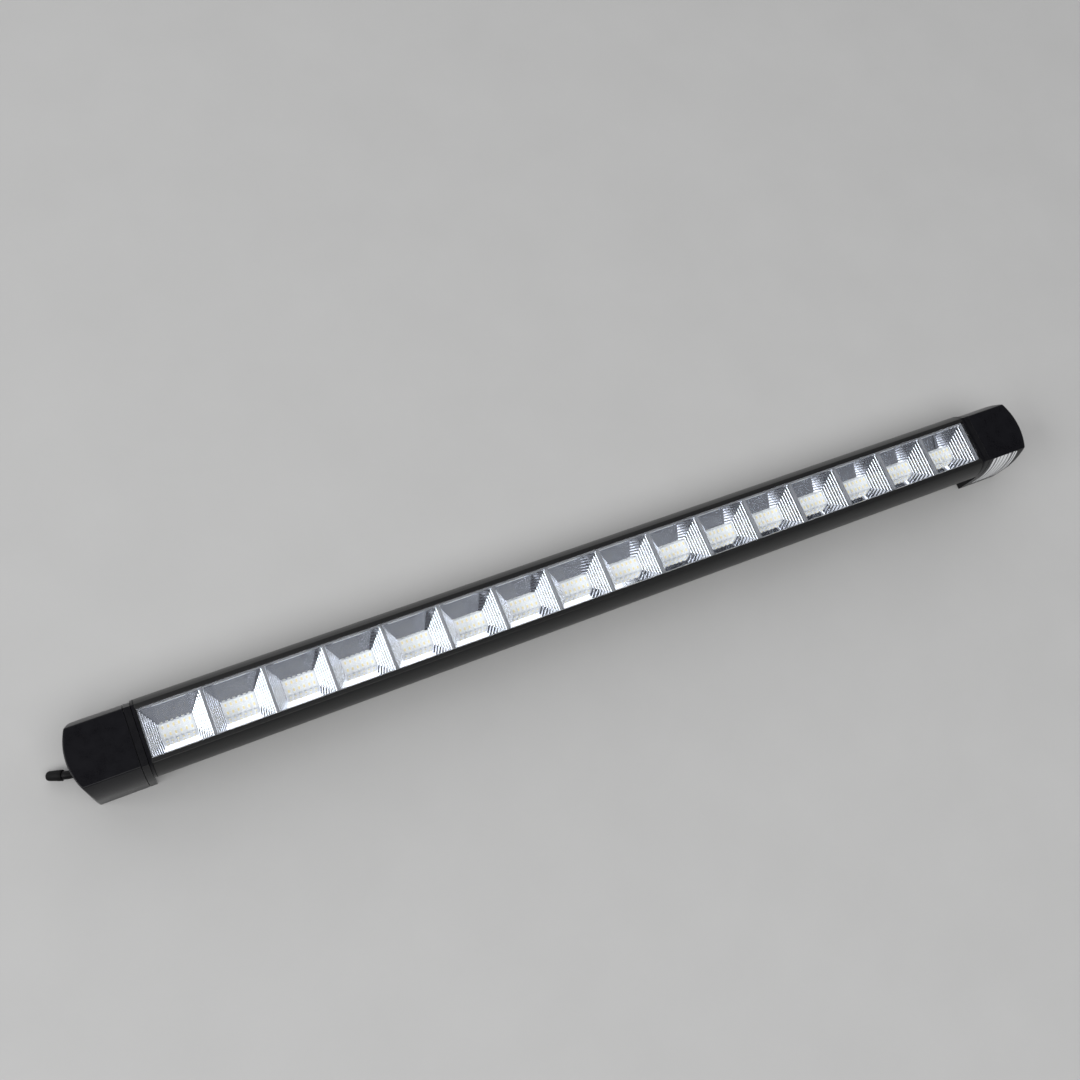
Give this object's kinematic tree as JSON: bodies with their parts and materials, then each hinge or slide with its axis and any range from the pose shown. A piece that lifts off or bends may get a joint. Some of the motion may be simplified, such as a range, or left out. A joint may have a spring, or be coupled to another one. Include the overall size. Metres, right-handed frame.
{
  "type": "work light",
  "caption": "Slim LED work light bar with a clear lens over mirrored reflector cells, swivelling between two screw-on end brackets, with a short two-core lead.",
  "frame": {"origin": "middle of the bar, on the plane where both brackets meet the wall", "axes": "+X along the bar away from the lead, +Z out of the lens, Z = 0 is the wall"},
  "size_m": [0.614, 0.042, 0.0362],
  "materials": {
    "bracket_plastic": "fine moulded texture",
    "cover_plastic": "satin moulded",
    "bush_acetal": "smooth acetal",
    "black_rubber": "matte",
    "zinc_steel": "zinc plated",
    "cord_sheath": "soft matte sheath",
    "cap_sleeve": "shrunk polyolefin",
    "core_insulation": "red and black core insulation",
    "crimp_sleeve": "translucent sleeve",
    "label_film": "printed film with plain grey bands",
    "tube_coated_aluminium": "satin black coating",
    "clear_lens": "clear polycarbonate",
    "reflector_chrome": "vacuum metallised",
    "board_white": "white solder mask",
    "led_phosphor": "yellow phosphor",
    "driver_laminate": "green solder mask",
    "component_dark": "moulded epoxy",
    "ferrite_winding": "ferrite and lacquered copper",
    "terminal_plastic": "moulded",
    "thermal_pad": "soft silicone",
    "feed_insulation": "thin PVC"
  },
  "bodies": {
    "brackets": {"left_base": "bracket_plastic", "right_base": "bracket_plastic", "left_cover": "cover_plastic", "right_cover": "cover_plastic", "left_pivot_bush": "bush_acetal", "right_pivot_bush": "bush_acetal", "cable_grommet": "black_rubber", "cable_clamp": "bracket_plastic", "cable_clamp_screws": "zinc_steel", "supply_cores": "core_insulation", "crimp_connectors": "crimp_sleeve", "cord": "cord_sheath", "cord_end_cap": "cap_sleeve", "rating_label": "label_film"},
    "light_bar": {"housing_tube": "tube_coated_aluminium", "front_lens": "clear_lens", "left_end_plug": "bracket_plastic", "right_end_plug": "bracket_plastic", "left_end_gasket": "black_rubber", "right_end_gasket": "black_rubber", "left_end_screws": "zinc_steel", "right_end_screws": "zinc_steel", "left_wave_washer": "zinc_steel", "right_wave_washer": "zinc_steel", "left_retaining_clip": "zinc_steel", "right_retaining_clip": "zinc_steel", "stop_pin": "zinc_steel", "reflector_1": "reflector_chrome", "reflector_2": "reflector_chrome", "reflector_3": "reflector_chrome", "reflector_4": "reflector_chrome", "led_board_1": "board_white", "led_board_2": "board_white", "led_board_3": "board_white", "led_board_4": "board_white", "led_chips_1": "led_phosphor", "led_chips_2": "led_phosphor", "led_chips_3": "led_phosphor", "led_chips_4": "led_phosphor", "board_jumpers": "zinc_steel", "driver_board": "driver_laminate", "driver_capacitor": "component_dark", "driver_inductor": "ferrite_winding", "driver_chips": "component_dark", "terminal_block": "terminal_plastic", "driver_pad": "thermal_pad", "input_leads": "core_insulation", "led_feed_leads": "feed_insulation"}
  },
  "joints": [
    {"name": "bar_swivel", "type": "hinge", "parent": "brackets", "child": "light_bar", "pos_m": [0, 0, 0.0227], "axis": [1, 0, 0], "range_deg": [-90, 90]}
  ]
}
